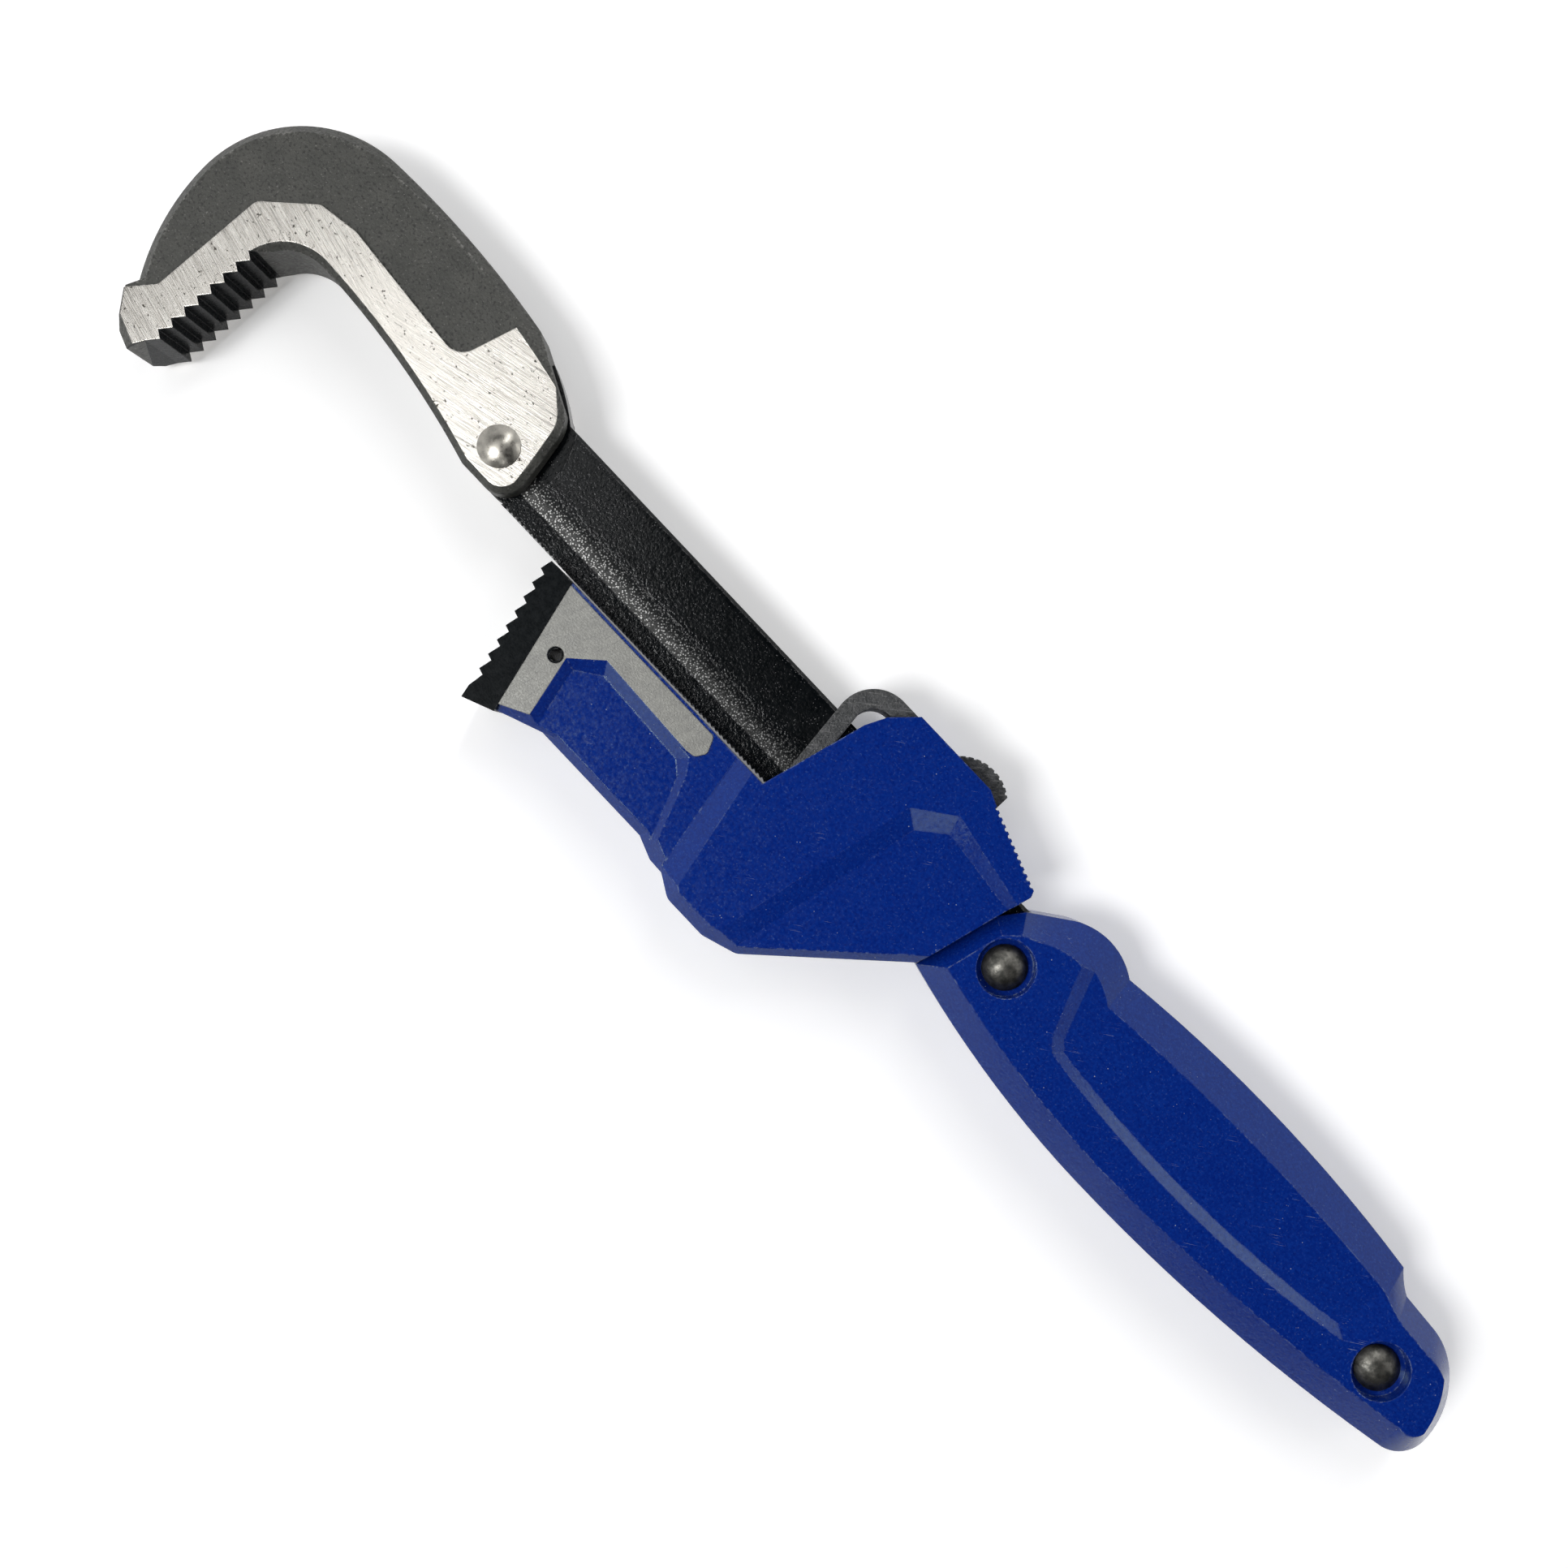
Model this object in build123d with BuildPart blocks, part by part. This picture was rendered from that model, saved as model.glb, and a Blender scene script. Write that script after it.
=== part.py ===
"""Quick-adjusting pipe wrench, 14 inch class, in millimetres.

The tool lies on its back: +Z is up out of the front face, +X runs along the bar towards the
hook jaw and +Y points to the side where the jaws open. The origin is on the bar's axis, on the
flat back of the slider's sleeve. The slider rests against the handle, with the jaws wide open.
"""
import math
import os

from build123d import *

# Thickness levels, all about the middle plane
tool_thick = 24.0  # slider sleeve and handle
hook_thick = 18.6
arm_thick = 20.0  # heel arm, over its machined faces
mid_z = tool_thick / 2
mid = Plane.XY.offset(mid_z)
past = 2 * tool_thick  # length of a cutter that goes right through

# Clearances
slide_gap = 0.25  # bar in the slider's passage
turn_gap = 0.3  # between pieces that turn past each other
pin_gap = 0.05  # running fit on a rivet
seat_gap = 0.15  # bar in the handle, tenon in its slot, lever's end in its socket
stop_gap = 0.5  # slider to handle at rest

# Bar
bar_width = 21.3
bar_thick = 9.0
bar_half = bar_width / 2
rack_pitch = 1.2
rack_depth = 0.45
rack_start = -36.0
web_depth = 0.9  # hollow web on both faces
web_low = 1.5  # where the web's slope turns up towards the rack
web_land = 4.6  # flat beside the rack
web_margin = 1.6  # flat beside the back edge
bar_edge = 0.7  # bevel of the back edge
tongue_thick = 6.5
tang_width = 14.0
tang_start = -62.0
tang_end = -167.0
tang_y = 1.5

# Hook jaw, placed by its rivet
arm_gap = 0.35  # heel arm to the bar's rack edge
arm_y = bar_half + arm_gap
cheek_height = 7.75  # flat top of the fork's cheeks above the rivet
cheek_reach = 8.7  # round end of the cheeks behind the rivet
pass_gap = 0.35  # hook's cheek to the passing heel arm
pivot_x = 96.5
pivot_y = arm_y - pass_gap - cheek_height
tongue_radius = 14.5
rivet_radius = 3.5
rivet_head_radius = 4.45
rivet_head_height = 1.6
hook_recess = 1.0  # forged face below the ground strip
hook_edge = 2.0  # bevel of the forged edges
cheek_edge = 1.4  # bevel of the ground strip inside the hook and round the cheeks
nub_edge = 0.7  # bevel of the strip behind the cheeks
tip_edge = 0.4  # bevel of the tip's outer side
toe_edge = 2.0  # bevel of the tip's end
hook_tooth_pitch = 3.45
hook_tooth_depth = 1.7
hook_tooth_steep = 0.27  # share of the pitch under the steep flank
hook_teeth = 8
hook_tooth_tilt = 2.5  # degrees, tooth row from square

# Heel arm and its toothed insert
heel_tilt = 15.0  # degrees, insert seat from square
heel_seat_x = 66.25  # where the seat meets the arm's edge beside the bar
heel_length = 30.0
heel_height = 7.0  # seat to tooth tips
heel_tooth_pitch = 3.38
heel_tooth_depth = 1.25
heel_tooth_steep = 0.77
heel_teeth = 8
heel_lip = 1.2  # overhang past the seat's outer end
tenon_place = 14.15  # tenon's middle from the seat's end beside the bar
tenon_length = 14.0
tenon_depth = 8.5
tenon_thick = 8.0
roll_pin_radius = 1.7
roll_pin_wall = 0.5
roll_pin_slit = 0.6
roll_pin_depth = 4.7  # behind the insert's seat
roll_pin_sink = 0.3
pad_height = 0.3  # machined pad above the painted arm
pad_margin = 0.6  # painted edge between the pad and the bar
pad_corner = 1.2  # rounded corners of the pad
arm_recess = 1.3  # pocket in the painted arm
arm_edge = 3.3  # bevel of the arm's outer edge
arm_tip_edge = 2.2  # the same beside the insert
sleeve_edge = 2.8  # bevel of the sleeve's outer edge
foot_radius = 3.5  # rounded corners of that edge
stop_x = -40.0  # slider's stop edge on the bar's axis
stop_tilt = 13.0  # degrees, stop edge from square
band_width = 4.8  # slope from the arm up to the sleeve
back_wall = 1.75  # sleeve behind the bar, at the stop edge
front_wall = 2.55  # sleeve before the bar, at the stop edge
arm_depth = 25.4  # heel arm, from its edge beside the bar
sleeve_rise = 4.5  # sleeve beyond the heel arm
thumb_grooves = 12
thumb_groove = 0.45
panel_depth = 1.2  # sunk panel on the sleeve

# Release lever: a bent lock plate
lever_plate = 4.0
lever_width = 14.0
lever_tilt = 7.3  # degrees, plate from square when it locks
lever_stroke = 7.0  # degrees, thumb pressed
lock_gap = 0.1  # lock edges to the bar
window_gap = 0.3  # window to the bar's faces
socket_x = 6.2
socket_y = bar_half + 2.35
lever_side = 10.6  # back leg's outer face beyond the bar's back edge
lever_end = -25.6
bend_radius = 8.5
pad_start = -12.2
pad_rise = 3.7
pad_grooves = 9
pad_groove = 0.35
spring_x = -14.0
spring_wire = 0.7
spring_radius = 2.2  # to the middle of the wire
spring_turns = 3.5
spring_wall = 1.1  # left between the spring's pocket and the bar's passage

# Handle
handle_wall = 6.5  # upright side wall above the middle plane
handle_recess = 1.0
rivet_top = (-49.8, 1.0)
rivet_end = (-159.9, 1.9)
handle_rivet_radius = 3.0
handle_head_radius = 4.7
handle_head_height = 2.6
handle_bore_radius = 6.0
handle_bore_depth = 3.0


def polar(radius, degrees, centre=(0, 0)):
    """A point round a centre in the drawing plane."""
    angle = math.radians(degrees)
    return centre[0] + radius * math.cos(angle), centre[1] + radius * math.sin(angle)


def domed_rivet(place, shank, head, height, seat):
    """A rivet along Z with a domed head in front and a flatter hammered one behind.

    Both heads sit `seat` from the middle plane.
    """
    crown = seat + height
    skirt = seat + 0.2 * height
    dome = (head**2 + (crown - skirt) ** 2) / (2 * (crown - skirt))
    half_angle = math.asin(head / dome) / 2
    bulge = (dome * math.sin(half_angle), crown - dome + dome * math.cos(half_angle))
    with BuildPart() as rivet:
        with BuildSketch(Plane((place[0], place[1], mid_z), x_dir=(1, 0, 0), z_dir=(0, -1, 0))):
            with BuildLine():
                ThreePointArc((0, crown), bulge, (head, skirt))
                Polyline(
                    (head, skirt), (head, seat), (shank, seat), (shank, -seat), (head, -seat),
                    (head, -skirt), (0.6 * head, -crown), (0, -crown), (0, crown),
                )
            make_face()
        revolve(axis=Axis((place[0], place[1], mid_z), (0, 0, 1)))
    return rivet


def rims_over(rims, plane, height, curves):
    """The edges at a height above and below a plane that pass through the middle of each drawn curve."""
    picked = []
    for curve in curves:
        for level in (height, -height):
            spot = plane.from_local_coords((curve @ 0.5) + Vector(0, 0, level))
            picked.append(rims.sort_by_distance(spot)[0])
    return picked


def saw_teeth(count, pitch, depth, steep):
    """Points of a row of saw teeth along x from 0, tips at y = 0, each with its steep flank first."""
    points = []
    for tooth in range(count):
        points.append((tooth * pitch - steep * pitch, -depth))
        points.append((tooth * pitch, 0))
    points.append((count * pitch - steep * pitch, -depth))
    return points


def coil(turns, radius, wire, length):
    """A coil's centre line along z, as pairs of tangent arcs of a quarter turn each."""
    steps = round(4 * turns)
    rise = (length - wire) / steps
    knots = [Vector(*polar(radius, 90 * n), wire / 2 + rise * n) for n in range(steps + 1)]
    slope = Vector(0, 0, rise / (math.pi / 2 * radius))
    tangents = [(Vector(*polar(1, 90 * n + 90)) + slope).normalized() for n in range(steps + 1)]
    arcs = []
    for start, end, leave, arrive in zip(knots, knots[1:], tangents, tangents[1:]):
        span = end - start
        both = leave + arrive
        spread = 2 * (1 - leave.dot(arrive))
        reach = (math.sqrt(span.dot(both) ** 2 + spread * span.dot(span)) - span.dot(both)) / spread
        joint = (start + leave * reach + end - arrive * reach) * 0.5
        along = (end - arrive * reach - start - leave * reach).normalized()
        arcs.append((start, joint, leave))
        arcs.append((joint, end, along))
    return arcs


os.makedirs("parts", exist_ok=True)
hook_plane = Plane((pivot_x, pivot_y, mid_z))

# Bar: rack edge on +Y, recessed webs, tongue for the hook and tang for the handle
shoulder_x = pivot_x - cheek_reach + 1.1
shoulder_bottom = pivot_x - cheek_reach - 2.2
rack_count = math.floor((shoulder_x - 1 - rack_start) / rack_pitch)
edge_low = -bar_half - pivot_y
edge_high = bar_half - pivot_y - 0.4
with BuildPart() as bar:
    with BuildSketch(mid):
        with BuildLine():
            end = ThreePointArc((shoulder_x, -bar_half), (shoulder_bottom, pivot_y), (shoulder_x, bar_half))
            Polyline(end @ 1, (tang_start, bar_half), (tang_start, -bar_half), end @ 0)
        make_face()
    extrude(amount=bar_thick / 2, both=True)
    chamfer(bar.edges().filter_by(Axis.X).group_by(Axis.Y)[0], bar_edge)
    with BuildSketch(mid) as tang:
        with Locations(((tang_start + tang_end) / 2, tang_y)):
            Rectangle(tang_start - tang_end, tang_width)
        fillet(tang.vertices().group_by(Axis.X)[0], radius=0.45 * tang_width)
    extrude(amount=bar_thick / 2, both=True)
    for side in (1, -1):
        with BuildSketch(Plane((tang_start + 4, 0, mid_z), x_dir=(0, 1, 0), z_dir=(1, 0, 0))):
            face = side * bar_thick / 2
            with BuildLine():
                slope = Line((-bar_half + web_margin, face), (web_low, face - side * web_depth))
                wall = TangentArc(slope @ 1, (bar_half - web_land, face), tangent=slope % 1)
                Line(wall @ 1, slope @ 0)
            make_face()
        extrude(amount=shoulder_x - tang_start + 10, mode=Mode.SUBTRACT)
    with BuildSketch(mid):
        with Locations(*[(rack_start + rack_pitch * (n + 0.5), bar_half) for n in range(rack_count)]):
            Polygon((-rack_pitch / 2, 0), (0.2 * rack_pitch, -rack_depth), (rack_pitch / 2, 0), align=None)
    extrude(amount=bar_thick, both=True, mode=Mode.SUBTRACT)
    with BuildSketch(hook_plane):
        with BuildLine():
            ThreePointArc((-5.6, edge_low), (0, -17.2), (5.9, -19.9))
            Line((5.9, -19.9), polar(tongue_radius, -56))
            ThreePointArc(polar(tongue_radius, -56), (tongue_radius, 0), polar(tongue_radius, 18))
            Polyline(
                polar(tongue_radius, 18), (3.5, edge_high), (-14, edge_high),
                (-14, edge_low), (-5.6, edge_low),
            )
        make_face()
    extrude(amount=tongue_thick / 2, both=True)
    with Locations((pivot_x, pivot_y, mid_z)):
        Cylinder(rivet_radius + pin_gap, past, mode=Mode.SUBTRACT)
    with Locations(*[(place[0], place[1], mid_z) for place in (rivet_top, rivet_end)]):
        Cylinder(handle_rivet_radius, past, mode=Mode.SUBTRACT)
bar.part.label = "bar"
export_step(bar.part, "parts/bar.step")

# Hook jaw: drawn round its rivet, forked over the tongue, with a ground strip beside the teeth
tooth_start = hook_plane.from_local_coords((61.7, 10.6))
tooth_plane = Plane(tooth_start).rotated((0, 0, 90 - hook_tooth_tilt))
hook_row = [
    hook_plane.to_local_coords(tooth_plane.from_local_coords(point))
    for point in saw_teeth(hook_teeth, hook_tooth_pitch, hook_tooth_depth, hook_tooth_steep)
]
slot_radius = tongue_radius + turn_gap
slot_corner = polar(slot_radius, -55.5)
with BuildPart() as hook_jaw:
    with BuildSketch(hook_plane):
        with BuildLine():
            spine = ThreePointArc((12.0, -22.3), (36.0, -24.6), (57.0, -24.4))
            crown = TangentArc(spine @ 1, (83.3, 4.7), tangent=spine % 1)
            brow = TangentArc(crown @ 1, (75.1, 30.6), tangent=crown % 1)
            Line(brow @ 1, (75.9, 32.4))
            tip = Line((75.9, 32.4), (70.4, 39.8))
            toe = Line((70.4, 39.8), (66.8, 41.2))
            Line(toe @ 1, hook_row[-1])
            Polyline(*hook_row)
            cheek = Line((3.0, cheek_height), (-3.4, cheek_height))
            cheek_end = TangentArc(cheek @ 1, (-cheek_reach, 1.6), tangent=cheek % 1)
            flank = TangentArc(cheek_end @ 1, (-6.6, -9.9), tangent=cheek_end % 1)
            heel = TangentArc(flank @ 1, (-3.9, -14.4), tangent=flank % 1)
            nub = Line(heel @ 1, spine @ 0)
            inside = ThreePointArc(cheek @ 0, (22.0, 3.6), (51.0, 0.9))
            throat = TangentArc(inside @ 1, (60.6, 6.4), tangent=inside % 1)
            Line(throat @ 1, hook_row[0])
        make_face()
    extrude(amount=hook_thick / 2, both=True)
    rims = hook_jaw.faces().filter_by(Axis.Z).edges()
    chamfer(rims_over(rims, hook_plane, hook_thick / 2, (spine, crown, brow)), hook_edge + hook_recess)
    rims = hook_jaw.faces().filter_by(Axis.Z).edges()
    chamfer(rims_over(rims, hook_plane, hook_thick / 2, (toe,)), toe_edge)
    rims = hook_jaw.faces().filter_by(Axis.Z).edges()
    chamfer(rims_over(rims, hook_plane, hook_thick / 2, (tip,)), tip_edge)
    rims = hook_jaw.faces().filter_by(Axis.Z).edges()
    fork = (cheek, cheek_end, flank, heel, inside, throat)
    chamfer(rims_over(rims, hook_plane, hook_thick / 2, fork), cheek_edge)
    rims = hook_jaw.faces().filter_by(Axis.Z).edges()
    chamfer(rims_over(rims, hook_plane, hook_thick / 2, (nub,)), nub_edge)
    for side in (1, -1):
        with BuildSketch(hook_plane.offset(side * (hook_thick / 2 - hook_recess))):
            with BuildLine():
                step = FilletPolyline(
                    (13, -32), (14.8, -19.7), (18.8, -6.1), (51.3, -8.8), (60.1, -7.4), (69.6, 1.6),
                    (71.0, 27.4), (77.5, 35.5), radius=(2.5, 4.5, 2.5, 2.5, 2.5, 1.5),
                )
                Polyline(step @ 1, (92, 34), (92, -32), step @ 0)
            make_face()
        extrude(amount=side * past, mode=Mode.SUBTRACT)
    with BuildSketch(hook_plane):
        with BuildLine():
            ThreePointArc(slot_corner, (slot_radius, 0), polar(slot_radius, 45))
            Polyline(polar(slot_radius, 45), (10, 20), (-20, 20), (-20, -27), (4.4, -27), slot_corner)
        make_face()
    extrude(amount=tongue_thick / 2 + turn_gap, both=True, mode=Mode.SUBTRACT)
    with Locations((pivot_x, pivot_y, mid_z)):
        Cylinder(rivet_radius, past, mode=Mode.SUBTRACT)
hook_jaw.part.label = "hook_jaw"
export_step(hook_jaw.part, "parts/hook_jaw.step")

hook_rivet = domed_rivet(
    (pivot_x, pivot_y), rivet_radius, rivet_head_radius, rivet_head_height, hook_thick / 2
)
hook_rivet.part.label = "hook_rivet"
export_step(hook_rivet.part, "parts/hook_rivet.step")

# Heel jaw: toothed insert on the tilted seat of the heel arm, with a tenon
tilt = math.radians(heel_tilt)
seat_origin = (
    heel_seat_x - heel_length * math.sin(tilt), arm_y + heel_length * math.cos(tilt), mid_z,
)
seat_plane = Plane(seat_origin, x_dir=(math.sin(tilt), -math.cos(tilt), 0), z_dir=(0, 0, 1))
tenon_along = heel_length - tenon_place
heel_row = [
    (heel_length - 0.8 - x, heel_height + y)
    for x, y in saw_teeth(heel_teeth, heel_tooth_pitch, heel_tooth_depth, heel_tooth_steep)
]
with BuildPart() as heel_jaw:
    with BuildSketch(seat_plane):
        with BuildLine():
            Polyline(*heel_row)
            Polyline(
                heel_row[-1], (1.6, heel_height), (-heel_lip, heel_height + 0.1), (-0.3, 0),
                (heel_length + 4, 0), (heel_length + 4, heel_height - heel_tooth_depth), heel_row[0],
            )
        make_face()
    extrude(amount=arm_thick / 2, both=True)
    with BuildSketch(seat_plane):
        with Locations((tenon_along, -tenon_depth / 2)):
            Rectangle(tenon_length, tenon_depth)
    extrude(amount=tenon_thick / 2, both=True)
    with Locations(seat_plane.location * Location((tenon_along, -roll_pin_depth))):
        Cylinder(roll_pin_radius, past, mode=Mode.SUBTRACT)
    with Locations((heel_seat_x, arm_y - past / 2, mid_z)):
        Box(past, past, past, mode=Mode.SUBTRACT)
heel_jaw.part.label = "heel_jaw"
export_step(heel_jaw.part, "parts/heel_jaw.step")

# Roll pin: slit tube through the heel arm and the tenon
with BuildPart() as heel_jaw_pin:
    with BuildSketch(seat_plane):
        with Locations((tenon_along, -roll_pin_depth)):
            Circle(roll_pin_radius)
            Circle(roll_pin_radius - roll_pin_wall, mode=Mode.SUBTRACT)
        with Locations((tenon_along + roll_pin_radius, -roll_pin_depth)):
            Rectangle(2 * roll_pin_radius - 0.2, roll_pin_slit, mode=Mode.SUBTRACT)
    extrude(amount=arm_thick / 2 - roll_pin_sink, both=True)
heel_jaw_pin.part.label = "heel_jaw_pin"
export_step(heel_jaw_pin.part, "parts/heel_jaw_pin.step")

# Release lever: lock plate with a window for the bar, back leg and grooved thumb pad
lean = math.radians(lever_tilt)
stroke = math.radians(lever_stroke)
half_plate = lever_plate / 2
lock_edge = (socket_y - bar_half - lock_gap - half_plate * math.sin(lean)) / math.cos(lean)
back_edge = (socket_y + bar_half + lock_gap + half_plate * math.sin(lean)) / math.cos(lean)
leg_outer = -bar_half - lever_side
leg_inner = leg_outer + lever_plate
socket = (socket_x, socket_y, mid_z)
lever_plane = Plane(socket, x_dir=(math.sin(lean), -math.cos(lean), 0), z_dir=(0, 0, 1))


def plate_face(side, y):
    """Where one face of the leaning lock plate crosses the level y."""
    run = (socket_y + side * half_plate * math.sin(lean) - y) / math.cos(lean)
    return socket_x + side * half_plate * math.cos(lean) + run * math.sin(lean), y


outer_corner = plate_face(1, leg_outer)
inner_corner = plate_face(-1, leg_inner)
with BuildPart() as release_lever:
    with BuildSketch(mid) as profile:
        with BuildLine():
            pad = ThreePointArc(
                (lever_end, leg_outer - 0.5 * pad_rise),
                (0.5 * (lever_end + pad_start), leg_outer - pad_rise),
                (pad_start, leg_outer),
            )
            Polyline(
                pad @ 1, outer_corner, plate_face(1, socket_y), plate_face(-1, socket_y), inner_corner,
                (lever_end, leg_inner), pad @ 0,
            )
        make_face()
        corners = profile.vertices()
        fillet(corners.sort_by_distance((*outer_corner, mid_z))[0], radius=bend_radius)
        corners = profile.vertices()
        fillet(corners.sort_by_distance((*inner_corner, mid_z))[0], radius=bend_radius - lever_plate)
        with Locations((socket_x, socket_y)):
            Circle(half_plate)
        with Locations(*[pad @ ((n + 0.5) / pad_grooves) for n in range(pad_grooves)]):
            Circle(pad_groove, mode=Mode.SUBTRACT)
    extrude(amount=lever_width / 2, both=True)
    with Locations(lever_plane.location * Location(((lock_edge + back_edge) / 2, 0))):
        Box(back_edge - lock_edge, 2 * lever_plate, bar_thick + 2 * window_gap, mode=Mode.SUBTRACT)
release_lever.part.label = "release_lever"
export_step(release_lever.part, "parts/release_lever.step")

# Slider: sleeve round the bar, heel arm, room for the lever
passage = bar_half + slide_gap
leg_floor = socket_y + (socket_x - lever_end) * math.sin(stroke) + (leg_inner - socket_y) * math.cos(stroke)
leg_floor += turn_gap
leg_room = socket_x + (lever_end - socket_x) * math.cos(stroke)
leg_room += (leg_outer - pad_rise - socket_y) * math.sin(stroke) - 2 * turn_gap
lever_room = lever_width + 2 * turn_gap
sleeve_back = leg_outer - 0.1
arm_out = arm_y + arm_depth
sleeve_out = arm_out + sleeve_rise
arm_face = arm_thick / 2 - pad_height
arm_floor = arm_face - arm_recess
stop_back = -bar_half - back_wall
stop_front = bar_half + front_wall
stop_slope = math.tan(math.radians(stop_tilt))
thumb_start = Vector(-24.3, stop_back - 7.8)
thumb_end = Vector(-42.3, stop_back - 1.3)
thumb_step = (thumb_end - thumb_start) / (thumb_grooves + 0.4)
band = Vector(-0.2305, 0.973)
band_plane = Plane((18.6, arm_y, mid_z), x_dir=(-band.Y, band.X, 0), z_dir=band)
panel_rim = [(-1.5, 55.0), (-13.1, -7.1), (-21.3, -13.2), (-52.8, -7.3), (-52.8, 55.0)]
panel_floor = [(-6.1, 56.0), (-17.0, -4.6), (-22.7, -9.4), (-52.8, -6.0), (-52.8, 56.0)]
pocket_rim = [
    (24.2, 17.6), (50.1, 16.7), (56.1, 22.3), (52.7, 36.4), (51.0, 44.0), (12.5, 44.0), (22.1, 20.7),
]
pocket_floor = [
    (26.3, 20.3), (48.5, 19.4), (53.7, 23.1), (50.4, 36.4), (49.0, 44.0), (14.0, 44.0), (23.5, 22.6),
]
pad_low = seat_plane.from_local_coords((heel_length - pad_margin / math.cos(tilt), 0))
pad_high = seat_plane.from_local_coords((1.4, 0))

with BuildPart() as slider_body:
    with BuildSketch(mid):
        with BuildLine():
            tip_side = Line((seat_origin[0], seat_origin[1]), (49.1, arm_out))
            outer_side = Polyline(tip_side @ 1, (20.2, arm_out), (15.2, arm_out + 1.9))
            Polyline(
                outer_side @ 1, (5, arm_out + 1.9), (5, arm_y), (heel_seat_x, arm_y), tip_side @ 0,
            )
        make_face()
    extrude(amount=arm_face, both=True)
    rims = slider_body.faces().filter_by(Axis.Z).edges()
    chamfer(rims_over(rims, mid, arm_face, outer_side.edges()), arm_edge)
    rims = slider_body.faces().filter_by(Axis.Z).edges()
    chamfer(rims_over(rims, mid, arm_face, (tip_side,)), arm_tip_edge)
    with BuildSketch(mid):
        with BuildLine():
            leg = FilletPolyline(
                (pad_low.X, pad_low.Y), (24.2, pad_low.Y), (22.6, 15.0), (23.9, 17.2), (50.0, 22.0),
                radius=pad_corner,
            )
            Polyline(leg @ 1, (50.0, 34.0), (pad_high.X, pad_high.Y), leg @ 0)
        make_face()
    extrude(amount=arm_thick / 2, both=True)
    for side in (1, -1):
        with BuildSketch(mid.offset(side * arm_floor)):
            Polygon(*pocket_floor, align=None)
        with BuildSketch(mid.offset(side * arm_thick / 2)):
            Polygon(*pocket_rim, align=None)
        loft(ruled=True, mode=Mode.SUBTRACT)
    with BuildSketch(mid):
        with BuildLine():
            foot = FilletPolyline(
                (stop_x + stop_front * stop_slope, stop_front), (-10.6, sleeve_out - 2.4),
                (-3.1, sleeve_out), (7.0, sleeve_out), (12.6, sleeve_out - 3.3), radius=foot_radius,
            )
            Polyline(
                foot @ 1, (17.8, arm_y), (10.6, arm_y), (5.1, -bar_half - 1.25), (3.0, -bar_half - 5.75),
                (-1.6, sleeve_back), (-21.7, sleeve_back), thumb_start, thumb_end,
                (stop_x + stop_back * stop_slope, stop_back), foot @ 0,
            )
        make_face()
    extrude(amount=tool_thick / 2, both=True)
    rims = slider_body.faces().filter_by(Axis.Z).edges()
    chamfer(rims_over(rims, mid, tool_thick / 2, foot.edges()), sleeve_edge)
    for side in (1, -1):
        level = side * arm_face
        top = side * tool_thick
        with BuildSketch(band_plane):
            Polygon(
                (-6, top), (-6, side * arm_thick / 2), (-1, side * arm_thick / 2), (0, level),
                (band_width, side * mid_z), (band_width, top), align=None,
            )
        extrude(amount=past, both=True, mode=Mode.SUBTRACT)
        with BuildSketch(mid.offset(side * (mid_z - panel_depth))):
            Polygon(*panel_floor, align=None)
        with BuildSketch(mid.offset(side * mid_z)):
            Polygon(*panel_rim, align=None)
        loft(ruled=True, mode=Mode.SUBTRACT)
    with Locations((0, 0, mid_z)):
        Box(4 * past, 2 * passage, bar_thick + 2 * slide_gap, mode=Mode.SUBTRACT)
    with BuildSketch(mid):
        Polygon(
            (socket_x - half_plate - turn_gap, passage), (past, passage), (past, -past), (leg_room, -past),
            (leg_room, leg_floor), (socket_x - half_plate - turn_gap, leg_floor), align=None,
        )
    extrude(amount=lever_room / 2, both=True, mode=Mode.SUBTRACT)
    for angle in (lean, lean - stroke):
        with BuildSketch(Plane(socket, x_dir=(math.sin(angle), -math.cos(angle), 0), z_dir=(0, 0, 1))):
            Circle(half_plate + seat_gap)
            with Locations((socket_y - bar_half, 0)):
                Rectangle(2 * (socket_y - bar_half), lever_plate + 2 * seat_gap)
        extrude(amount=lever_room / 2, both=True, mode=Mode.SUBTRACT)
    with BuildSketch(mid):
        with Locations(*[thumb_start + thumb_step * (n + 0.7) for n in range(thumb_grooves)]):
            Circle(thumb_groove)
    extrude(amount=past, both=True, mode=Mode.SUBTRACT)
    with BuildSketch(seat_plane):
        with Locations((tenon_along, -tenon_depth / 2)):
            Rectangle(tenon_length + 2 * seat_gap, tenon_depth + 2 * seat_gap)
    extrude(amount=tenon_thick / 2 + seat_gap, both=True, mode=Mode.SUBTRACT)
    with Locations(seat_plane.location * Location((tenon_along, -roll_pin_depth))):
        Cylinder(roll_pin_radius, past, mode=Mode.SUBTRACT)
    with Locations(Plane((spring_x, -passage - spring_wall, mid_z), z_dir=(0, -1, 0))):
        Cylinder(
            spring_radius + spring_wire, past,
            align=(Align.CENTER, Align.CENTER, Align.MIN), mode=Mode.SUBTRACT,
        )
slider_body.part.label = "slider_body"
export_step(slider_body.part, "parts/slider_body.step")

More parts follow.
